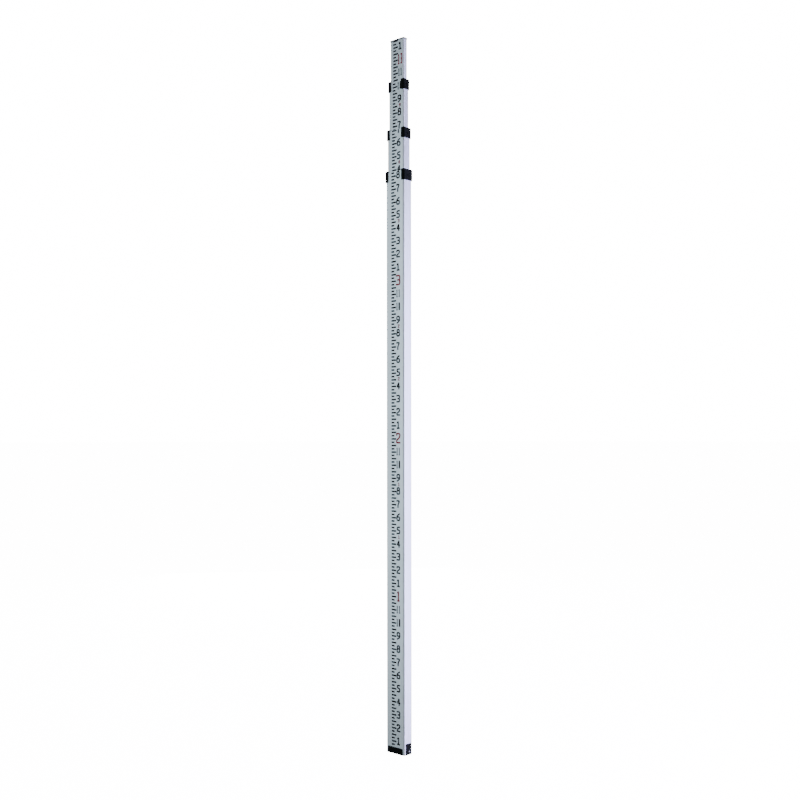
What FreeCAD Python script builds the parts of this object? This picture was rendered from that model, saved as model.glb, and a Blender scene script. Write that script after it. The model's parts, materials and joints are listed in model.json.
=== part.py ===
"""Telescoping leveling rod: four nested aluminium sections, closed.

Frame: origin at the middle of the foot, on the ground. +Z is up the rod, the
printed scale faces -Y, and X runs across the scale. Millimetres.
"""
import FreeCAD, Part
import math
import os

import Sketcher
from FreeCAD import Placement, Rotation, Vector

INCH = 25.4
SIZES = {
    "rod_width": 47.0,             # outer section across the scale
    "rod_depth": 23.0,             # outer section, front to back
    "size_step": 4.0,              # each inner section is this much smaller
    "wall": 1.3,
    "corner": 3.0,                 # outer corner radius of section 1
    "corner_step": 0.3,
    "slide_gap": 0.2,              # foot plug to the tube that it slides in
    "rim_gap": 0.3,                # collar rim to the tube that slides in it
    "fit_gap": 0.05,               # plugs and screws in their own seats
    # section tops above the ground, closed
    "top_1st": 44.3 * INCH,
    "top_2nd": 47.47 * INCH,
    "top_3rd": 51.17 * INCH,
    "top_4th": 54.35 * INCH,
    # how far each section slides out before its button locks
    "travel_2nd": 31.52 * INCH,
    "travel_3rd": 35.66 * INCH,
    "travel_4th": 35.96 * INCH,
    # foot of the rod
    "block_height": 20.0,
    "sole_height": 2.0,
    "tab_thick": 1.0,
    "front_tab_width": 37.6,
    "front_tab_height": 12.3,
    "side_tab_width": 14.3,
    "side_tab_height": 21.5,
    "block_core_width": 30.0,
    "block_core_depth": 14.0,
    "block_floor": 5.0,
    "foot_screw_height": 6.5,
    "foot_screw_back": 1.8,
    "foot_screw_length": 7.5,
    # plugs in the lower ends of the inner sections
    "flange_height": 6.0,
    "spigot_height": 20.0,
    "button_height": 16.0,         # button axis above the plug's underside
    "plug_screw_height": 11.0,
    "plug_screw_length": 7.0,
    "plug_screw_head": 2.4,
    # screws: shank, low head and the slot in it
    "shank_radius": 1.4,
    "head_height": 0.8,
    "collar_head_radius": 2.4,
    "foot_head_radius": 2.0,
    "slot_width": 0.6,
    "slot_depth": 0.45,
    # lock buttons
    "button_radius": 4.2,
    "hole_radius": 4.5,
    "button_flange": 5.3,
    "button_flange_thick": 1.2,
    "button_stem": 1.6,
    "button_stem_length": 1.5,
    "button_round": 0.5,
    "button_travel": 2.3,
    "button_proud": 0.2,           # pressed in, beyond its own tube's face
    "seat_radius": 5.6,
    "seat_depth": 7.4,             # behind the tube's inner face
    "spring_wire": 0.35,           # wire radius
    "spring_radius": 2.5,
    "spring_turns": 3.5,
    "spring_span": 1.0,            # turns in one piece of the coil's path
    "spring_gap": 0.05,
    # collars
    "collar_wall": 1.9,
    "collar_corner": 4.0,
    "rim_height": 2.6,
    "rim_chamfer": 1.3,
    "lip_cover": 5.6,              # how far a lip covers the scale face
    "band_1st": 18.8,
    "band_2nd": 17.4,
    "band_3rd": 17.4,
    # cap
    "cap_thick": 2.2,
    "cap_over": 1.0,
    "cap_plug": 12.0,
}
NTH = {1: "1st", 2: "2nd", 3: "3rd", 4: "4th"}

doc = FreeCAD.newDocument("leveling_rod")
sheet = doc.addObject("Spreadsheet::Sheet", "dim")
for row, (name, value) in enumerate(SIZES.items(), start=1):
    sheet.set(f"A{row}", name)
    sheet.set(f"B{row}", f"{value:.4f}")
    sheet.setAlias(f"B{row}", name)
doc.recompute()


def number(expression):
    """The value of an expression of the sheet's cells."""
    value = sheet.evalExpression(expression)
    return float(getattr(value, "Value", value))


# ------------------------------------------------------------------- sketching
def new_body(name):
    body = doc.addObject("PartDesign::Body", name)
    body.Label = name
    return body


def new_sketch(body, name, plane="XY_Plane", lift=""):
    """A sketch on one of the body's own origin planes, lifted along its normal."""
    sketch = body.newObject("Sketcher::SketchObject", name)
    origin = next(f for f in body.Origin.OriginFeatures if f.Role == plane)
    sketch.AttachmentSupport = [(origin, "")]
    sketch.MapMode = "FlatFace"
    if lift:
        sketch.setExpression("AttachmentOffset.Base.z", lift)
    return sketch


def bind(sketch, kind, *where, to):
    """Add a dimension to a sketch and tie it to the sheet."""
    index = sketch.addConstraint(Sketcher.Constraint(kind, *where, number(to)))
    sketch.setExpression(f"Constraints[{index}]", to)


def locate(sketch, geometry, vertex, x_at, y_at):
    """Fix a point of a sketch; "0" puts it on that axis."""
    for kind, at, axis in (("DistanceX", x_at, -2), ("DistanceY", y_at, -1)):
        if at == "0":
            sketch.addConstraint(
                Sketcher.Constraint("PointOnObject", geometry, vertex, axis))
        else:
            bind(sketch, kind, -1, 1, geometry, vertex, to=at)


def add_outline(sketch, points):
    """A closed outline of straight lines through points given as expressions."""
    spots = [Vector(number(x), number(y), 0) for x, y in points]
    first, count = sketch.GeometryCount, len(points)
    for i in range(count):
        sketch.addGeometry(Part.LineSegment(spots[i], spots[(i + 1) % count]), False)
    for i in range(count):
        sketch.addConstraint(Sketcher.Constraint(
            "Coincident", first + i, 2, first + (i + 1) % count, 1))
    for i, (x, y) in enumerate(points):
        locate(sketch, first + i, 1, x, y)


def add_box(sketch, x_low, x_high, y_low, y_high):
    add_outline(sketch, [(x_low, y_low), (x_high, y_low), (x_high, y_high), (x_low, y_high)])


def add_centred(sketch, width, depth):
    add_box(sketch, f"-({width}) / 2", f"({width}) / 2", f"-({depth}) / 2", f"({depth}) / 2")


def add_rounded(sketch, width, depth, radius):
    """A rectangle centred on the origin, with rounded corners."""
    half_w, half_d, r = number(width) / 2, number(depth) / 2, number(radius)
    first = sketch.GeometryCount
    centres = [(half_w - r, half_d - r), (r - half_w, half_d - r),
               (r - half_w, r - half_d), (half_w - r, r - half_d)]
    arcs = []
    for i, (cx, cy) in enumerate(centres):
        circle = Part.Circle(Vector(cx, cy, 0), Vector(0, 0, 1), r)
        arcs.append(Part.ArcOfCircle(circle, i * math.pi / 2, (i + 1) * math.pi / 2))
    for i in range(4):
        line = Part.LineSegment(arcs[i].EndPoint, arcs[(i + 1) % 4].StartPoint)
        sketch.addGeometry(arcs[i], False)
        sketch.addGeometry(line, False)
    for i in range(0, 8, 2):
        arc, line, after = first + i, first + i + 1, first + (i + 2) % 8
        sketch.addConstraint(Sketcher.Constraint("Tangent", arc, 2, line, 1))
        sketch.addConstraint(Sketcher.Constraint("Tangent", line, 2, after, 1))
        if i:
            sketch.addConstraint(Sketcher.Constraint("Equal", first, arc))
    for line in (first + 1, first + 5):
        sketch.addConstraint(Sketcher.Constraint("Horizontal", line))
        sketch.addConstraint(Sketcher.Constraint("Vertical", line + 2))
    sketch.addConstraint(Sketcher.Constraint("Symmetric", first, 3, first + 4, 3, -1, 1))
    bind(sketch, "Radius", first, to=radius)
    bind(sketch, "DistanceX", -1, 1, first, 1, to=f"({width}) / 2")
    bind(sketch, "DistanceY", -1, 1, first, 2, to=f"({depth}) / 2")


def add_circle(sketch, radius, x_at, y_at):
    centre = Vector(number(x_at), number(y_at), 0)
    circle = Part.Circle(centre, Vector(0, 0, 1), number(radius))
    index = sketch.addGeometry(circle, False)
    bind(sketch, "Radius", index, to=radius)
    locate(sketch, index, 3, x_at, y_at)


# -------------------------------------------------------------------- features
def pad(body, sketch, name, length):
    feature = body.newObject("PartDesign::Pad", name)
    feature.Profile = sketch
    feature.setExpression("Length", length)
    doc.recompute()
    return feature


def cut(body, feature):
    """Recompute a cutting feature and make sure that it removes something."""
    before = feature.BaseFeature.Shape.Volume
    doc.recompute()
    if feature.Shape.isNull() or feature.Shape.Volume > before - 0.01:
        raise RuntimeError(f"{feature.Label} cuts nothing")
    return feature


def pocket(body, sketch, name, length="", up=False, both_ways=False):
    """Cut a sketch out of a body: down by default, right through with no length."""
    feature = body.newObject("PartDesign::Pocket", name)
    feature.Profile = sketch
    feature.Reversed = up
    if length:
        feature.setExpression("Length", length)
    else:
        feature.Type = "ThroughAll"
    if both_ways:
        feature.Midplane = True
    return cut(body, feature)


def turn(body, name, points, lift="", groove=False):
    """Turn an outline of (radius, place along Y) points about the sketch's Y axis."""
    sketch = new_sketch(body, f"{name}_profile", lift=lift)
    add_outline(sketch, points)
    kind = "PartDesign::Groove" if groove else "PartDesign::Revolution"
    feature = body.newObject(kind, name)
    feature.Profile = sketch
    feature.ReferenceAxis = (sketch, ["V_Axis"])
    feature.Angle = 360.0
    if groove:
        return cut(body, feature)
    doc.recompute()
    return feature


def chamfer(body, name, size, chosen):
    """Chamfer the tip's edges whose middle point is chosen."""
    tip = body.Tip
    names = []
    for i, edge in enumerate(tip.Shape.Edges, start=1):
        middle = edge.valueAt((edge.FirstParameter + edge.LastParameter) / 2)
        if chosen(middle):
            names.append(f"Edge{i}")
    feature = body.newObject("PartDesign::Chamfer", name)
    feature.Base = (tip, names)
    feature.setExpression("Size", size)
    doc.recompute()
    return feature


def stand_at(item, height):
    item.setExpression("Placement.Base.z", height)


# ---------------------------------------------------------------- shared sizes
def outer(axis, n):
    """Outer size of section n's tube, across or deep, as an expression."""
    return f"(dim.rod_{axis} - {n - 1} * dim.size_step)"


def inner(axis, n):
    return f"({outer(axis, n)} - 2 * dim.wall)"


def corner(n):
    return f"(dim.corner - {n - 1} * dim.corner_step)"


def inner_corner(n):
    return f"({corner(n)} - dim.wall)"


def plug_base(n):
    """Height of the underside of inner section n's foot plug, closed."""
    return f"(dim.block_height + {n - 2} * (dim.flange_height + dim.spigot_height))"


def tube_base(n):
    return f"({plug_base(n)} + dim.flange_height)" if n > 1 else "(0 * dim.wall)"


def button_axis(n):
    return f"({plug_base(n)} + dim.button_height)"


def top(n):
    return f"dim.top_{NTH[n]}"


# -------------------------------------------------------------------- sections
def lock_hole_heights(n):
    """Heights of the round holes in the back of section n's tube, closed.

    Its own button's hole, the one that locks the next section when it is
    pulled out, and those over the buttons of the closed sections inside it.
    """
    heights = [button_axis(n)] if n > 1 else []
    if n < 4:
        heights.append(f"({button_axis(n + 1)} + dim.travel_{NTH[n + 1]})")
    return heights + [button_axis(k) for k in range(n + 1, 5)]


def make_tube(n):
    body = new_body(f"section_{n}_tube")
    base = tube_base(n)
    profile = new_sketch(body, f"tube_{n}_profile")
    add_rounded(profile, outer("width", n), outer("depth", n), corner(n))
    add_rounded(profile, inner("width", n), inner("depth", n), inner_corner(n))
    pad(body, profile, f"tube_{n}", f"{top(n)} - {base}")
    holes = new_sketch(body, f"lock_holes_{n}_profile", "XZ_Plane")
    for height in lock_hole_heights(n):
        add_circle(holes, "dim.hole_radius", "0", f"{height} - {base}")
    pocket(body, holes, f"lock_holes_{n}")
    if n == 1:
        add_foot_seats(body)
    else:
        add_plug_screw_seats(body, n, f"{plug_base(n)} + dim.plug_screw_height - {base}")
    if n < 4:
        screws = new_sketch(body, f"collar_screw_holes_{n}_profile", "YZ_Plane")
        height = f"{top(n)} - dim.band_{NTH[n]} / 2 - {base}"
        add_circle(screws, "dim.shank_radius + dim.fit_gap", "0", height)
        pocket(body, screws, f"collar_screw_holes_{n}", both_ways=True)
    stand_at(body, base)
    return body


def add_foot_seats(body):
    """Notches in the foot of section 1 for the plug's webs, and its screw holes."""
    webs = {"front": ("dim.front_tab_width + 2 * dim.fit_gap", "dim.rod_depth + dim.wall"),
            "side": ("dim.rod_width + dim.wall", "dim.side_tab_width + 2 * dim.fit_gap")}
    for name, (width, depth) in webs.items():
        notch = new_sketch(body, f"{name}_notch_profile")
        add_centred(notch, width, depth)
        pocket(body, notch, f"{name}_notch", "dim.sole_height", up=True)
    screws = new_sketch(body, "foot_screw_holes_profile", "YZ_Plane")
    add_circle(screws, "dim.shank_radius + dim.fit_gap",
               "dim.foot_screw_back", "dim.foot_screw_height")
    pocket(body, screws, "foot_screw_holes", both_ways=True)


def add_plug_screw_seats(body, n, height):
    """Countersunk holes in both narrow sides of an inner section's tube."""
    half = f"{outer('width', n)} / 2"
    seat = "(dim.plug_screw_head + dim.fit_gap)"
    hole = "(dim.shank_radius + dim.fit_gap)"
    for side, sign in (("right", ""), ("left", "-")):
        sketch = new_sketch(body, f"plug_screw_seat_{side}_{n}_profile", "XZ_Plane")
        add_outline(sketch, [
            (f"{sign}({half} + 1)", f"{height}"),
            (f"{sign}({half} + 1)", f"{height} + {seat}"),
            (f"{sign}{half}", f"{height} + {seat}"),
            (f"{sign}({half} - {seat} + {hole})", f"{height} + {hole}"),
            (f"{sign}({half} - dim.wall - 0.5)", f"{height} + {hole}"),
            (f"{sign}({half} - dim.wall - 0.5)", f"{height}")])
        groove = body.newObject("PartDesign::Groove", f"plug_screw_seat_{side}_{n}")
        groove.Profile = sketch
        groove.ReferenceAxis = (sketch, ["Edge6"])
        groove.Angle = 360.0
        cut(body, groove)


# --------------------------------------------------------------------- collars
def make_collar(n):
    """A C-shaped band round the back and sides of a tube's top, with front lips.

    Its rim covers the tube's end and guides the next section.
    """
    body = new_body(f"collar_{n}")
    band = f"dim.band_{NTH[n]}"
    wide = f"{outer('width', n)} + 2 * dim.collar_wall"
    deep = f"{outer('depth', n)} + 2 * dim.collar_wall"
    ring = new_sketch(body, f"collar_{n}_profile")
    add_rounded(ring, wide, deep, "dim.collar_corner")
    pad(body, ring, f"collar_{n}_block", f"{band} + dim.rim_height")
    seat = new_sketch(body, f"collar_{n}_seat_profile")
    add_rounded(seat, f"{outer('width', n)} + 2 * dim.fit_gap",
                f"{outer('depth', n)} + 2 * dim.fit_gap", f"{corner(n)} + dim.fit_gap")
    pocket(body, seat, f"collar_{n}_seat", band, up=True)
    guide = new_sketch(body, f"collar_{n}_guide_profile")
    add_rounded(guide, f"{outer('width', n + 1)} + 2 * dim.rim_gap",
                f"{outer('depth', n + 1)} + 2 * dim.rim_gap",
                f"{corner(n + 1)} + dim.rim_gap")
    pocket(body, guide, f"collar_{n}_guide", up=True)
    half = f"({outer('width', n)} / 2 - dim.lip_cover)"
    opening = new_sketch(body, f"collar_{n}_opening_profile")
    add_box(opening, f"-{half}", half, f"-({deep})", f"-{inner('depth', n + 1)} / 2")
    pocket(body, opening, f"collar_{n}_opening", up=True)
    screws = new_sketch(body, f"collar_{n}_screw_holes_profile", "YZ_Plane")
    add_circle(screws, "dim.shank_radius + dim.fit_gap", "0", f"{band} / 2")
    pocket(body, screws, f"collar_{n}_screw_holes", both_ways=True)
    height = number(f"{band} + dim.rim_height")
    half_w, half_d = number(wide) / 2, number(deep) / 2
    reach = number("dim.collar_corner")

    def on_outer_rim(point):
        far_out = abs(point.x) > half_w - reach or abs(point.y) > half_d - 0.01
        outside = abs(point.x) > half_w - 0.01 or abs(point.y) > half_d - 0.01
        in_corner = (abs(point.x) > half_w - reach and abs(point.y) > half_d - reach
                     and math.hypot(abs(point.x) - half_w + reach,
                                    abs(point.y) - half_d + reach) > reach - 0.05)
        return abs(point.z - height) < 0.01 and far_out and (outside or in_corner)

    chamfer(body, f"collar_{n}_top_edge", "dim.rim_chamfer", on_outer_rim)
    stand_at(body, f"{top(n)} - {band}")
    return body


# ---------------------------------------------------------------------- screws
def make_screw(name, radius, length, sunk=False):
    """A slotted screw with its axis along Y, its head's bearing face at Y = 0."""
    body = new_body(name)
    shank = "dim.shank_radius"
    if sunk:
        rim = f"-({radius} - {shank})"
        turn(body, f"{name}_turned", [("0", "0"), (radius, "0"), (shank, rim),
                                      (shank, f"-({length})"), ("0", f"-({length})")])
        crown = "(0 * dim.wall)"
    else:
        edge = "dim.head_height"
        turn(body, f"{name}_turned", [
            ("0", edge), (f"{radius} - {edge} / 2", edge), (radius, f"{edge} / 2"),
            (radius, "0"), (shank, "0"), (shank, f"-({length})"), ("0", f"-({length})")])
        crown = edge
    slot = new_sketch(body, f"{name}_slot_profile")
    add_box(slot, "-dim.slot_width / 2", "dim.slot_width / 2",
            f"{crown} - dim.slot_depth", f"{crown} + 1")
    pocket(body, slot, f"{name}_slot", both_ways=True)
    return body


def screw_pair(name, screw, x_face, y_at, height):
    """The screw seated in both narrow sides of the rod, as one node of two solids."""
    pair = []
    for side, sign, angle in (("right", "", -90), ("left", "-", 90)):
        twin = doc.addObject("Part::Compound", f"{name}_{side}")
        twin.Links = [screw]
        twin.Placement = Placement(Vector(), Rotation(Vector(0, 0, 1), angle))
        twin.setExpression("Placement.Base.x", f"{sign}({x_face})")
        twin.setExpression("Placement.Base.y", y_at)
        twin.setExpression("Placement.Base.z", height)
        pair.append(twin)
    group = doc.addObject("Part::Compound", name)
    group.Label = name
    group.Links = pair
    return group


# ----------------------------------------------------------------------- plugs
def make_base_plug():
    """The rod's foot: a block in the tube, a sole, and tabs over its flat sides."""
    body = new_body("base_plug")
    block = new_sketch(body, "base_block_profile")
    add_rounded(block, f"{inner('width', 1)} - 2 * dim.fit_gap",
                f"{inner('depth', 1)} - 2 * dim.fit_gap", inner_corner(1))
    pad(body, block, "base_block", "dim.block_height")
    front = ("dim.front_tab_width", "dim.rod_depth + 2 * dim.tab_thick")
    side = ("dim.rod_width + 2 * dim.tab_thick", "dim.side_tab_width")
    for name, (width, depth) in (("front", front), ("side", side)):
        web = new_sketch(body, f"{name}_web_profile")
        add_centred(web, width, depth)
        pad(body, web, f"{name}_web", "dim.sole_height")
    wide, deep = "dim.rod_width / 2", "dim.rod_depth / 2"
    tabs = new_sketch(body, "front_tabs_profile")
    add_box(tabs, "-dim.front_tab_width / 2", "dim.front_tab_width / 2",
            f"-({deep} + dim.tab_thick)", f"-{deep}")
    add_box(tabs, "-dim.front_tab_width / 2", "dim.front_tab_width / 2",
            deep, f"{deep} + dim.tab_thick")
    pad(body, tabs, "front_tabs", "dim.front_tab_height")
    tabs = new_sketch(body, "side_tabs_profile")
    add_box(tabs, f"-({wide} + dim.tab_thick)", f"-{wide}",
            "-dim.side_tab_width / 2", "dim.side_tab_width / 2")
    add_box(tabs, wide, f"{wide} + dim.tab_thick",
            "-dim.side_tab_width / 2", "dim.side_tab_width / 2")
    pad(body, tabs, "side_tabs", "dim.side_tab_height")
    core = new_sketch(body, "base_core_profile", lift="dim.block_height")
    add_centred(core, "dim.block_core_width", "dim.block_core_depth")
    pocket(body, core, "base_core", "dim.block_height - dim.block_floor")
    screws = new_sketch(body, "base_screw_holes_profile", "YZ_Plane")
    add_circle(screws, "dim.shank_radius + dim.fit_gap",
               "dim.foot_screw_back", "dim.foot_screw_height")
    pocket(body, screws, "base_screw_holes", both_ways=True)
    return body


def make_foot_plug(n):
    """A flange that slides in the outer tube, under a spigot in section n's tube."""
    body = new_body(f"foot_plug_{n}")
    flange = new_sketch(body, f"plug_flange_{n}_profile")
    add_rounded(flange, f"{inner('width', n - 1)} - 2 * dim.slide_gap",
                f"{inner('depth', n - 1)} - 2 * dim.slide_gap",
                f"{inner_corner(n - 1)} + dim.slide_gap")
    pad(body, flange, f"plug_flange_{n}", "dim.flange_height")
    spigot = new_sketch(body, f"plug_spigot_{n}_profile")
    add_rounded(spigot, f"{inner('width', n)} - 2 * dim.fit_gap",
                f"{inner('depth', n)} - 2 * dim.fit_gap", inner_corner(n))
    pad(body, spigot, f"plug_spigot_{n}", "dim.flange_height + dim.spigot_height")
    face = f"{inner('depth', n)} / 2"
    turn(body, f"button_seat_{n}", [
        ("0", f"{face} + 1"), ("dim.seat_radius", f"{face} + 1"),
        ("dim.seat_radius", f"{face} - dim.seat_depth"), ("0", f"{face} - dim.seat_depth")],
        lift="dim.button_height", groove=True)
    screws = new_sketch(body, f"plug_screw_holes_{n}_profile", "YZ_Plane")
    add_circle(screws, "dim.shank_radius + dim.fit_gap", "0", "dim.plug_screw_height")
    pocket(body, screws, f"plug_screw_holes_{n}", both_ways=True)
    stand_at(body, plug_base(n))
    return body


def make_cap():
    body = new_body("top_cap")
    lid = new_sketch(body, "cap_lid_profile")
    add_rounded(lid, f"{outer('width', 4)} + 2 * dim.cap_over",
                f"{outer('depth', 4)} + 2 * dim.cap_over", f"{corner(4)} + dim.cap_over")
    pad(body, lid, "cap_lid", "dim.cap_thick")
    plug = new_sketch(body, "cap_plug_profile", lift="-dim.cap_plug")
    add_rounded(plug, f"{inner('width', 4)} - 2 * dim.fit_gap",
                f"{inner('depth', 4)} - 2 * dim.fit_gap", inner_corner(4))
    pad(body, plug, "cap_plug_block", "dim.cap_plug")
    lid_top = number("dim.cap_thick")
    chamfer(body, "cap_edge", "dim.cap_thick / 4", lambda p: p.z > lid_top - 0.01)
    stand_at(body, top(4))
    return body


# ---------------------------------------------------------------- lock buttons
def make_button(n):
    """A snap button, pressed in, with its axis along Y and a flange inside the tube."""
    body = new_body(f"lock_button_{n}")
    tip = f"({outer('depth', n)} / 2 + dim.button_proud)"
    shoulder = f"({inner('depth', n)} / 2 - dim.button_travel)"
    back = f"({shoulder} - dim.button_flange_thick)"
    stem = f"({back} - dim.button_stem_length)"
    turn(body, f"button_{n}_turned", [
        ("0", tip), ("dim.button_radius - dim.button_round", tip),
        ("dim.button_radius", f"{tip} - dim.button_round"),
        ("dim.button_radius", shoulder), ("dim.button_flange", shoulder),
        ("dim.button_flange", back), ("dim.button_stem", back),
        ("dim.button_stem", stem), ("0", stem)])
    stand_at(body, button_axis(n))
    return body


def make_spring(n):
    """The coil spring between the button's flange and the bottom of its seat."""
    bottom = f"({inner('depth', n)} / 2 - dim.seat_depth)"
    flange_back = (f"({inner('depth', n)} / 2 - dim.button_travel"
                   " - dim.button_flange_thick)")
    room = f"({flange_back} - {bottom} - 2 * (dim.spring_wire + dim.spring_gap))"
    helix = doc.addObject("Part::Helix", f"spring_path_{n}")
    helix.setExpression("Height", room)
    helix.setExpression("Pitch", f"{room} / dim.spring_turns")
    helix.setExpression("Radius", "dim.spring_radius")
    helix.setExpression("SegmentLength", "dim.spring_span")
    wire = doc.addObject("Part::Circle", f"spring_wire_{n}")
    wire.setExpression("Radius", "dim.spring_wire")
    wire.Placement = Placement(Vector(), Rotation(Vector(1, 0, 0), 90))
    wire.setExpression("Placement.Base.x", "dim.spring_radius")
    coil = doc.addObject("Part::Sweep", f"lock_spring_{n}")
    coil.Label = f"lock_spring_{n}"
    coil.Sections = [wire]
    doc.recompute()
    coil.Spine = (helix, [f"Edge{i + 1}" for i in range(len(helix.Shape.Edges))])
    coil.Solid = True
    coil.Frenet = True
    coil.Placement = Placement(Vector(), Rotation(Vector(1, 0, 0), -90))
    coil.setExpression("Placement.Base.y", f"{bottom} + dim.spring_wire + dim.spring_gap")
    coil.setExpression("Placement.Base.z", button_axis(n))
    return coil


# -------------------------------------------------------------------- assembly
nodes = []
for n in range(1, 5):
    nodes.append(make_tube(n))
for n in range(1, 4):
    nodes.append(make_collar(n))
nodes += [make_base_plug(), make_cap()]

collar_screw = make_screw("collar_screw", "dim.collar_head_radius",
                          "dim.collar_wall + dim.wall")
foot_screw = make_screw("foot_screw", "dim.foot_head_radius", "dim.foot_screw_length")
plug_screw = make_screw("plug_screw", "dim.plug_screw_head", "dim.plug_screw_length",
                        sunk=True)
for n in range(1, 4):
    nodes.append(screw_pair(
        f"collar_screws_{n}", collar_screw, f"{outer('width', n)} / 2 + dim.collar_wall",
        "0 * dim.wall", f"{top(n)} - dim.band_{NTH[n]} / 2"))
nodes.append(screw_pair(
    "base_plug_screws", foot_screw, "dim.rod_width / 2 + dim.tab_thick",
    "dim.foot_screw_back", "dim.foot_screw_height"))
for n in range(2, 5):
    nodes += [make_foot_plug(n), make_button(n), make_spring(n)]
    nodes.append(screw_pair(
        f"foot_plug_screws_{n}", plug_screw, f"{outer('width', n)} / 2",
        "0 * dim.wall", f"{plug_base(n)} + dim.plug_screw_height"))
doc.recompute()

# ---------------------------------------------------------------- check, write
for item in doc.Objects:
    if "Invalid" in item.State or "Error" in item.State:
        raise RuntimeError(f"{item.Label} failed: {item.State}")
for node in nodes:
    if node.Shape.isNull() or not node.Shape.isValid():
        raise RuntimeError(f"{node.Label} has no valid shape")

os.makedirs("parts", exist_ok=True)
for node in nodes:
    node.Shape.exportStep(f"parts/{node.Label}.step")
    box = node.Shape.BoundBox
    print(f"{node.Label:22s} solids {len(node.Shape.Solids)} volume {node.Shape.Volume:9.1f}"
          f"  x {box.XMin:7.2f} {box.XMax:7.2f}  y {box.YMin:7.2f} {box.YMax:7.2f}"
          f"  z {box.ZMin:8.2f} {box.ZMax:8.2f}")
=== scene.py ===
"""The look of the telescoping leveling rod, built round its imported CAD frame.

Metres, in the row's frame: +Z up the rod, the printed scale faces -Y.
"""
import json
import math

import bmesh
import bpy
from mathutils import Matrix, Vector


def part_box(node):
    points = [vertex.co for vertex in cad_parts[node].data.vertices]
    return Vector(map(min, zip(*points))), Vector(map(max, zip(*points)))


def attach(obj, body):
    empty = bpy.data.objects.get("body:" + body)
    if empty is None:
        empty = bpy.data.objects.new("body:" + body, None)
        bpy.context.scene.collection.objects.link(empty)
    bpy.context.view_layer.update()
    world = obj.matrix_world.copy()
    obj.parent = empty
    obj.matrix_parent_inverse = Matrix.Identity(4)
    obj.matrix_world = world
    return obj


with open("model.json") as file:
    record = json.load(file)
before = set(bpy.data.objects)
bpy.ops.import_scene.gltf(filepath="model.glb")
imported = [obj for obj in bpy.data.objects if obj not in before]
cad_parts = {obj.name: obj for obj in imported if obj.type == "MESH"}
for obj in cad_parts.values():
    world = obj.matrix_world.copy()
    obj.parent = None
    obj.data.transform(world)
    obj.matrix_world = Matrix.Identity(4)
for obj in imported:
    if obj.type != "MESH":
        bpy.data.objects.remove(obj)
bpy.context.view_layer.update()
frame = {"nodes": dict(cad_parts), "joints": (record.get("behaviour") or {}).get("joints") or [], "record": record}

MM = 0.001
INCH = 0.0254
INCHES_IN_FOOT = 12
SECTIONS = (1, 2, 3, 4)

# the print stands proud by less than the gap between two sections
INK_THICK = 0.09 * MM
INK_SINK = 0.03 * MM
INK_LIFT_STEP = 0.004 * MM
INK_LIFT_CYCLE = 0.016 * MM
PRINT_MARGIN = 0.3 * MM
BAR_LEFT = -9.2 * MM
BAR_SHORT = 7.5 * MM
BAR_LEAST = 0.5 * MM
BAR_LONG = 12.2 * MM
NUMERAL_LEFT = 3.6 * MM
NUMERAL_WIDE = 9.6 * MM
NUMERAL_TALL = 15.2 * MM
NUMERAL_STROKE = 2.95 * MM
TAB_TALL = 12.3 * MM  # the foot's front tab, which the print starts above
# large red numerals, one each foot; a lone 1 is narrower
FOOT_WIDE = 11.4 * MM
FOOT_NARROW = 8.0 * MM
FOOT_TALL = 20.5 * MM
FOOT_STROKE = 3.0 * MM
# small red numerals that repeat the foot, above these inches
SMALL_INCHES = (4, 8)
SMALL_WIDE = 4.4 * MM
SMALL_TALL = 7.0 * MM
SMALL_ASIDE = 1.4 * MM
SMALL_STROKE = 1.6 * MM
DIGIT_GAP = 0.7  # between two digits, in stroke widths
STROKE_SHARE = 0.48  # the most of a digit's width that its stroke takes
CORNER_ROUND = 0.42  # a corner's radius, in digit widths
LEAST_MITRE = 0.5  # stops a sharp corner's mitre from running out


# ------------------------------------------------------------------ materials
def new_material(name):
    material = bpy.data.materials.new(name)
    material.use_nodes = True
    tree = material.node_tree
    return material, tree, tree.nodes["Principled BSDF"]


def texture_space(tree, scale):
    """Object coordinates stretched by a scale for each axis."""
    place = tree.nodes.new("ShaderNodeTexCoord")
    stretch = tree.nodes.new("ShaderNodeMapping")
    stretch.inputs["Scale"].default_value = scale
    tree.links.new(place.outputs["Object"], stretch.inputs["Vector"])
    return stretch.outputs["Vector"]


def noise(tree, vector, scale, detail=4.0, rough=0.55):
    node = tree.nodes.new("ShaderNodeTexNoise")
    node.inputs["Scale"].default_value = scale
    node.inputs["Detail"].default_value = detail
    node.inputs["Roughness"].default_value = rough
    tree.links.new(vector, node.inputs["Vector"])
    return node.outputs["Fac"]


NOISE_LOW, NOISE_HIGH = 0.3, 0.7  # where most of a noise's values lie


def ramp(tree, value, low, high):
    """Map a noise to a range of numbers."""
    node = tree.nodes.new("ShaderNodeMapRange")
    for socket, number in (("From Min", NOISE_LOW), ("From Max", NOISE_HIGH),
                           ("To Min", low), ("To Max", high)):
        node.inputs[socket].default_value = number
    tree.links.new(value, node.inputs["Value"])
    return node.outputs["Result"]


def colours(tree, value, dark, light):
    """Map a noise to a range of colours."""
    node = tree.nodes.new("ShaderNodeValToRGB")
    node.color_ramp.elements[0].position = NOISE_LOW
    node.color_ramp.elements[0].color = (*dark, 1)
    node.color_ramp.elements[1].position = NOISE_HIGH
    node.color_ramp.elements[1].color = (*light, 1)
    tree.links.new(value, node.inputs["Fac"])
    return node.outputs["Color"]


def bump(tree, value, depth, strength):
    node = tree.nodes.new("ShaderNodeBump")
    node.inputs["Strength"].default_value = strength
    node.inputs["Distance"].default_value = depth
    tree.links.new(value, node.inputs["Height"])
    return node.outputs["Normal"]


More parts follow.
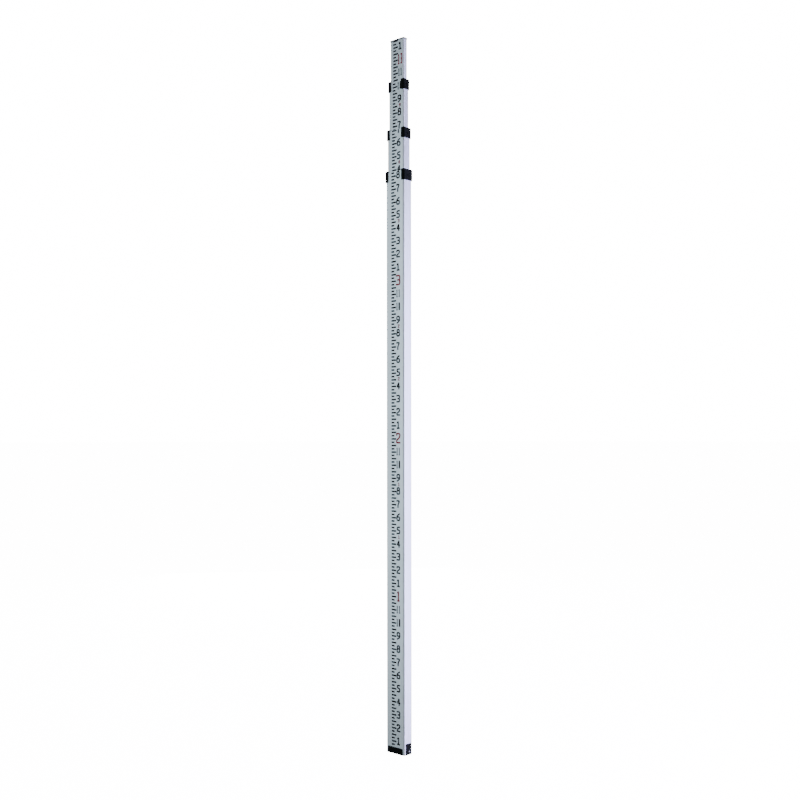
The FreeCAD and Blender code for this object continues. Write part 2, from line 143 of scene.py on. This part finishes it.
def anodised():
    """Satin anodised aluminium with fine lengthwise drawing marks."""
    material, tree, shader = new_material("anodised_aluminium")
    along = texture_space(tree, (1.0, 1.0, 0.012))
    grain = noise(tree, along, 2600.0, 3.0, 0.6)
    streaks = noise(tree, along, 420.0, 2.0)
    clouds = noise(tree, texture_space(tree, (1.0, 1.0, 0.25)), 26.0, 3.0)
    tint = colours(tree, streaks, (0.60, 0.63, 0.66), (0.67, 0.70, 0.73))
    tree.links.new(tint, shader.inputs["Base Color"])
    tree.links.new(ramp(tree, clouds, 0.36, 0.46), shader.inputs["Roughness"])
    tree.links.new(bump(tree, grain, 0.02 * MM, 0.35), shader.inputs["Normal"])
    shader.inputs["Metallic"].default_value = 0.85
    shader.inputs["Specular IOR Level"].default_value = 0.5
    return material


def moulded(name, dark, light, roughness):
    """Black moulded plastic with a fine spark-eroded texture."""
    material, tree, shader = new_material(name)
    space = texture_space(tree, (1.0, 1.0, 1.0))
    grit = noise(tree, space, 2400.0, 2.0)
    scuffs = noise(tree, space, 130.0, 5.0, 0.65)
    tree.links.new(colours(tree, scuffs, dark, light), shader.inputs["Base Color"])
    tree.links.new(ramp(tree, scuffs, roughness - 0.06, roughness + 0.08),
                   shader.inputs["Roughness"])
    tree.links.new(bump(tree, grit, 0.03 * MM, 0.5), shader.inputs["Normal"])
    shader.inputs["Specular IOR Level"].default_value = 0.06
    return material


def metal(name, dark, light, roughness):
    """Turned or plated steel with fine marks."""
    material, tree, shader = new_material(name)
    space = texture_space(tree, (1.0, 1.0, 1.0))
    marks = noise(tree, space, 1500.0, 4.0)
    tree.links.new(colours(tree, marks, dark, light), shader.inputs["Base Color"])
    tree.links.new(ramp(tree, marks, roughness - 0.05, roughness + 0.08),
                   shader.inputs["Roughness"])
    tree.links.new(bump(tree, marks, 0.01 * MM, 0.3), shader.inputs["Normal"])
    shader.inputs["Metallic"].default_value = 1.0
    return material


def ink(name, dark, light):
    """Screen-printed ink, slightly uneven."""
    material, tree, shader = new_material(name)
    space = texture_space(tree, (1.0, 1.0, 1.0))
    blotches = noise(tree, space, 700.0, 4.0)
    tree.links.new(colours(tree, blotches, dark, light), shader.inputs["Base Color"])
    tree.links.new(ramp(tree, blotches, 0.5, 0.65), shader.inputs["Roughness"])
    shader.inputs["Specular IOR Level"].default_value = 0.12
    return material


MATERIALS = {
    "anodised_tube": anodised(),
    "black_plastic": moulded("black_plastic", (0.0006, 0.0012, 0.0012),
                             (0.0022, 0.0034, 0.0034), 0.5),
    "plug_plastic": moulded("plug_plastic", (0.03, 0.03, 0.032), (0.05, 0.05, 0.052), 0.5),
    "black_screw": metal("black_oxide", (0.004, 0.005, 0.005), (0.01, 0.011, 0.011), 0.45),
    "steel_screw": metal("zinc_plate", (0.22, 0.22, 0.22), (0.34, 0.34, 0.33), 0.38),
    "button_metal": metal("turned_steel", (0.5, 0.5, 0.5), (0.62, 0.62, 0.62), 0.28),
    "spring_steel": metal("spring_wire", (0.3, 0.3, 0.3), (0.42, 0.42, 0.42), 0.35),
}
BLACK_INK = ink("black_ink", (0.001, 0.0015, 0.002), (0.003, 0.0035, 0.004))
RED_INK = ink("red_ink", (0.24, 0.001, 0.012), (0.32, 0.002, 0.02))


SLOTS = {s["node"]: s["material_slot"] for s in frame["record"]["subparts"]}


def paint_cad_nodes():
    for name, node in frame["nodes"].items():
        node.data.materials.clear()
        node.data.materials.append(MATERIALS[SLOTS[name]])


SOFT_EDGES = {"black_plastic": 0.45 * MM, "plug_plastic": 0.5 * MM, "black_screw": 0.15 * MM,
              "steel_screw": 0.15 * MM, "button_metal": 0.15 * MM}
SHARP_ANGLE = math.radians(40)


def soften_cad_edges():
    """Rounds the sharp edges of the moulded pieces and screws, within their own shape."""
    for name, node in frame["nodes"].items():
        width = SOFT_EDGES.get(SLOTS[name])
        if width is None:
            continue
        edges = node.modifiers.new("soft_edges", "BEVEL")
        edges.width = width
        edges.segments = 2
        edges.limit_method = "ANGLE"
        edges.angle_limit = SHARP_ANGLE
        edges.use_clamp_overlap = True


# ------------------------------------------------------------- numeral shapes
# Each stroke is (points in a box one wide and one tall, closed or not).
GLYPHS = {
    "0": [([(0, 0), (1, 0), (1, 1), (0, 1)], True)],
    "1": [([(0.5, 0), (0.5, 1), (0.16, 0.90)], False), ([(0.16, 0), (0.84, 0)], False)],
    "2": [([(0, 0.86), (0, 1), (1, 1), (1, 0.62), (0, 0.26), (0, 0), (1, 0)], False)],
    "3": [([(0, 0.98), (1, 1), (1, 0.52), (0.42, 0.52)], False),
          ([(0.42, 0.52), (1, 0.52), (1, 0), (0, 0.02)], False)],
    "4": [([(0.76, 0), (0.76, 1), (0, 0.28), (1, 0.28)], False)],
    "5": [([(0.92, 1), (0.08, 1), (0.08, 0.56), (1, 0.56), (1, 0), (0, 0.02)], False)],
    "6": [([(0.85, 1), (0, 0.72), (0, 0), (1, 0), (1, 0.55), (0, 0.55)], False)],
    "7": [([(0, 1), (1, 1), (0.38, 0.4), (0.38, 0)], False)],
    "8": [([(0, 0), (1, 0), (1, 0.54), (0, 0.54)], True),
          ([(0.08, 0.54), (0.92, 0.54), (0.92, 1), (0.08, 1)], True)],
    "9": [([(0.15, 0), (1, 0.28), (1, 1), (0, 1), (0, 0.45), (1, 0.45)], False)],
}
ARC_STEPS = 4
SAME_SPOT = 1e-6


def rounded(points, closed, radius):
    """The points of a stroke's centre line, with its corners rounded."""
    count = len(points)
    path = []
    for i, here in enumerate(points):
        if not closed and i in (0, count - 1):
            path.append(here)
            continue
        before = points[i - 1] - here
        after = points[(i + 1) % count] - here
        reach = min(radius, before.length / 2, after.length / 2)
        start = here + before.normalized() * reach
        end = here + after.normalized() * reach
        for k in range(ARC_STEPS + 1):
            f = k / ARC_STEPS
            path.append(start * (1 - f) ** 2 + here * 2 * f * (1 - f) + end * f ** 2)
    clean = [path[0]]
    for point in path[1:]:
        if (point - clean[-1]).length > SAME_SPOT:
            clean.append(point)
    if closed and (clean[0] - clean[-1]).length < SAME_SPOT:
        clean.pop()
    return clean


def side_point(before, here, after, half):
    """A point beside a stroke's centre line, mitred between its two runs."""
    directions = [d.normalized() for d in (here - before, after - here) if d.length > 1e-9]
    normals = [Vector((-d.y, d.x)) for d in directions]
    middle = (normals[0] + normals[-1]).normalized()
    return here + middle * (half / max(LEAST_MITRE, middle.dot(normals[0])))


class Print:
    """Flat ink shapes on one section's front face, gathered into one mesh."""

    def __init__(self, face_y):
        self.mesh = bmesh.new()
        self.face_y = face_y
        self.lift = 0.0

    def band(self, left, right, closed):
        """A raised ribbon of ink between two rows of (x, z) points."""
        top = self.face_y - INK_THICK - self.lift
        bottom = self.face_y + INK_SINK
        rows = [[self.mesh.verts.new((p.x, y, p.y)) for p in side]
                for side, y in ((left, bottom), (left, top), (right, top), (right, bottom))]
        count = len(left)
        for i in range(count if closed else count - 1):
            j = (i + 1) % count
            for low, high in zip(rows, rows[1:]):
                self.mesh.faces.new((low[i], high[i], high[j], low[j]))
        if not closed:
            for i in (0, -1):
                self.mesh.faces.new([row[i] for row in rows])

    def stroke(self, points, closed, width, radius):
        """A ribbon along a centre line; each stands a hair above the last, so none share a face."""
        line = rounded(points, closed, radius)
        count = len(line)
        left, right = [], []
        for i, here in enumerate(line):
            before = line[i - 1] if closed or i else here
            after = line[(i + 1) % count] if closed or i < count - 1 else here
            left.append(side_point(before, here, after, width / 2))
            right.append(side_point(before, here, after, -width / 2))
        if not closed:
            ends = ((0, (line[0] - line[1]).normalized()),
                    (-1, (line[-1] - line[-2]).normalized()))
            for i, out in ends:
                left[i] += out * width / 2
                right[i] += out * width / 2
        self.band(left, right, closed)
        self.lift = (self.lift + INK_LIFT_STEP) % INK_LIFT_CYCLE

    def bar(self, x_low, x_high, z_low, z_high):
        """A plain bar of the scale."""
        self.lift = 0.0
        self.band([Vector((x_low, z_low)), Vector((x_high, z_low))],
                  [Vector((x_low, z_high)), Vector((x_high, z_high))], False)

    def numeral(self, text, x_left, z_middle, wide, tall, width):
        """A number centred on a height, its digits narrowed to fit its width."""
        gap = width * DIGIT_GAP
        each = (wide - gap * (len(text) - 1)) / len(text)
        width = min(width, each * STROKE_SHARE)
        for place, digit in enumerate(text):
            low = Vector((x_left + place * (each + gap) + width / 2,
                          z_middle - tall / 2 + width / 2))
            span = Vector((each - width, tall - width))
            for points, closed in GLYPHS[digit]:
                spots = [low + Vector((x * span.x, z * span.y)) for x, z in points]
                self.stroke(spots, closed, width, CORNER_ROUND * max(span.x, width))

    def trim(self, z_low, z_high):
        """Cut off whatever runs past the ends of the tube."""
        for z, up in ((z_low, -1), (z_high, 1)):
            everything = self.mesh.verts[:] + self.mesh.edges[:] + self.mesh.faces[:]
            result = bmesh.ops.bisect_plane(
                self.mesh, geom=everything, plane_co=(0, 0, z), plane_no=(0, 0, up),
                clear_outer=True)
            rim = [e for e in result["geom_cut"] if isinstance(e, bmesh.types.BMEdge)]
            if rim:
                bmesh.ops.holes_fill(self.mesh, edges=rim, sides=0)

    def finish(self, name, material, body):
        """Make the piece, which moves with its section."""
        bmesh.ops.recalc_face_normals(self.mesh, faces=self.mesh.faces)
        data = bpy.data.meshes.new(name)
        self.mesh.to_mesh(data)
        self.mesh.free()
        data.materials.append(material)
        piece = bpy.data.objects.new(name, data)
        bpy.context.scene.collection.objects.link(piece)
        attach(piece, body)
        return piece


# ------------------------------------------------------------------ the scale
def travel(n):
    """How far section n slides out of the one outside it."""
    joint = next(j for j in frame["joints"] if j["child"] == f"section_{n}")
    return joint["range_m"][1]


def print_scale(n):
    """Bars every quarter inch, numerals at inches and feet, on one section.

    Readings are heights above the ground with the rod pulled right out.
    Each section's print carries on from where the one outside it ends.
    """
    low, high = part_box(f"section_{n}_tube")
    slid = sum(travel(k) for k in range(2, n + 1))
    first = 0.0 if n == 1 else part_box(f"section_{n - 1}_tube")[1].z + slid - travel(n)
    last = high.z + slid
    black, red = Print(low.y), Print(low.y)
    tab_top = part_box("base_plug")[0].z + TAB_TALL if n == 1 else 0.0
    quarter = INCH / 4
    start = max(first, tab_top) + PRINT_MARGIN
    for count in range(math.ceil(start / quarter), math.ceil(last / quarter) + 1):
        top = min(count * quarter, last - PRINT_MARGIN)
        bottom = max(count * quarter - INCH / 8, start)
        if top - bottom < BAR_LEAST:
            continue
        length = BAR_SHORT if count % 2 else BAR_LONG
        black.bar(BAR_LEFT, BAR_LEFT + length, bottom - slid, top - slid)
    for inch in range(int(first / INCH), math.ceil(last / INCH) + 1):
        z = inch * INCH - slid
        feet, inches = divmod(inch, INCHES_IN_FOOT)
        if inches == 0:
            if inch and z - FOOT_TALL / 2 < high.z:
                wide = FOOT_NARROW if feet == 1 else FOOT_WIDE
                left = NUMERAL_LEFT + (NUMERAL_WIDE - wide) / 2
                red.numeral(str(feet), left, z, wide, FOOT_TALL, FOOT_STROKE)
        elif z - NUMERAL_TALL / 2 < high.z and z + NUMERAL_TALL / 2 > first - slid:
            black.numeral(str(inches), NUMERAL_LEFT, z, NUMERAL_WIDE, NUMERAL_TALL,
                          NUMERAL_STROKE)
        if inches in SMALL_INCHES and feet and z + INCH < high.z:
            red.numeral(str(feet), NUMERAL_LEFT + (NUMERAL_WIDE - SMALL_WIDE) / 2 + SMALL_ASIDE,
                        z + INCH / 2, SMALL_WIDE, SMALL_TALL, SMALL_STROKE)
    for ink_print in (black, red):
        ink_print.trim(max(first, 0.0) - slid, last - slid - PRINT_MARGIN / 2)
    black.finish(f"scale_black_{n}", BLACK_INK, f"section_{n}")
    red.finish(f"scale_red_{n}", RED_INK, f"section_{n}")


# ------------------------------------------------------------ camera and light
THETA = math.radians(42.4)
DISTANCE = 2.034
EYE = 0.628
SENSOR = 36.0
ROLL = math.radians(-0.052)
LENS = 47.17
SHIFT_X = 0.0012
SHIFT_Y = 0.0358

SWEEP_RADIUS = 50.0
SWEEP_LOW = -0.5
SWEEP_HIGH = 40.0
SWEEP_SIDES = 48
SWEEP_GLOW = 16.0
FLOOR_REACH = 60.0
FLOOR_GLOW = 15.0
WORLD_COLOUR = (0.86, 0.96, 1.0, 1)
WORLD_STRENGTH = 0.3

# name, place, target, size, power, colour
LIGHTS = (
    ("key", (1.75, 1.0, 0.42), (0, 0, 0.42), (1.3, 2.0), 138.0, (0.59, 0.56, 1.0)),
    ("upper_key", (1.75, 1.0, 3.3), (0, 0, 3.1), (1.3, 1.8), 30.0, (0.74, 0.74, 1.0)),
    ("upper_fill", (-1.5, -1.7, 3.5), (0, 0, 3.2), (1.6, 1.8), 8.0, (0.80, 0.93, 1.0)),
    ("rear", (-2.0, 1.6, 0.9), (0, 0, 0.7), (1.2, 2.2), 42.0, (0.92, 0.95, 1.0)),
    ("corner", (1.9, -0.75, 0.6), (0, 0, 0.6), (0.5, 1.8), 11.0, (0.86, 0.86, 1.0)),
    ("fill", (-1.5, -1.7, 0.75), (0, 0, 0.7), (1.6, 2.3), 21.0, (0.72, 0.90, 1.0)),
)


def aim(place, target):
    return (target - place).to_track_quat("-Z", "Y").to_euler()


def add_camera():
    camera = bpy.data.cameras.new("camera")
    camera.sensor_width = SENSOR
    camera.lens = LENS
    camera.shift_x = SHIFT_X
    camera.shift_y = SHIFT_Y
    holder = bpy.data.objects.new("camera", camera)
    holder.location = (DISTANCE * math.sin(THETA), -DISTANCE * math.cos(THETA), EYE)
    facing = aim(holder.location, Vector((0, 0, EYE))).to_matrix()
    roll = Matrix.Rotation(ROLL, 3, "Z")
    holder.rotation_euler = (facing @ roll).to_euler()
    bpy.context.scene.collection.objects.link(holder)
    bpy.context.scene.camera = holder


def add_light(name, place, target, size, power, colour):
    lamp = bpy.data.lights.new(name, "AREA")
    lamp.shape = "RECTANGLE"
    lamp.size, lamp.size_y = size
    lamp.energy = power
    lamp.color = colour
    holder = bpy.data.objects.new(name, lamp)
    holder.location = place
    holder.rotation_euler = aim(Vector(place), Vector(target))
    bpy.context.scene.collection.objects.link(holder)


def add_backdrop():
    """A glowing white paper sweep far round the rod, seen by the camera only."""
    low, high, count = SWEEP_LOW, SWEEP_HIGH, SWEEP_SIDES
    spots = [(SWEEP_RADIUS * math.cos(2 * math.pi * k / count),
              SWEEP_RADIUS * math.sin(2 * math.pi * k / count)) for k in range(count)]
    mesh = bpy.data.meshes.new("backdrop")
    mesh.from_pydata([(x, y, low) for x, y in spots] + [(x, y, high) for x, y in spots], [],
                     [(k, (k + 1) % count, (k + 1) % count + count, k + count)
                      for k in range(count)])
    material, _, shader = new_material("backdrop_paper")
    shader.inputs["Base Color"].default_value = (0.9, 0.9, 0.9, 1)
    shader.inputs["Emission Color"].default_value = (1.0, 1.0, 1.0, 1)
    shader.inputs["Emission Strength"].default_value = SWEEP_GLOW
    mesh.materials.append(material)
    sweep = bpy.data.objects.new("backdrop", mesh)
    sweep.visible_diffuse = False
    sweep.visible_glossy = False
    sweep.visible_shadow = False
    bpy.context.scene.collection.objects.link(sweep)


def add_surroundings():
    """Dim sky light, and a floor and backdrop whose glow only the camera sees."""
    world = bpy.data.worlds.new("studio")
    world.use_nodes = True
    backdrop = world.node_tree.nodes["Background"]
    backdrop.inputs["Color"].default_value = WORLD_COLOUR
    backdrop.inputs["Strength"].default_value = WORLD_STRENGTH
    bpy.context.scene.world = world

    floor_mesh = bpy.data.meshes.new("floor")
    reach = FLOOR_REACH
    floor_mesh.from_pydata([(-reach, -reach, 0), (reach, -reach, 0), (reach, reach, 0),
                            (-reach, reach, 0)], [], [(0, 1, 2, 3)])
    material, tree, shader = new_material("floor_paper")
    fibre = noise(tree, texture_space(tree, (1.0, 1.0, 1.0)), 40.0)
    tree.links.new(colours(tree, fibre, (0.90, 0.90, 0.90), (0.92, 0.92, 0.92)),
                   shader.inputs["Base Color"])
    shader.inputs["Roughness"].default_value = 0.9
    shader.inputs["Emission Color"].default_value = (1.0, 1.0, 1.0, 1)
    shader.inputs["Emission Strength"].default_value = FLOOR_GLOW
    floor_mesh.materials.append(material)
    floor = bpy.data.objects.new("floor", floor_mesh)
    bpy.context.scene.collection.objects.link(floor)
    floor.visible_diffuse = False
    floor.visible_glossy = False
    floor.visible_shadow = False
    add_backdrop()


paint_cad_nodes()
soften_cad_edges()
for section in SECTIONS:
    print_scale(section)
add_surroundings()
for light in LIGHTS:
    add_light(*light)
add_camera()
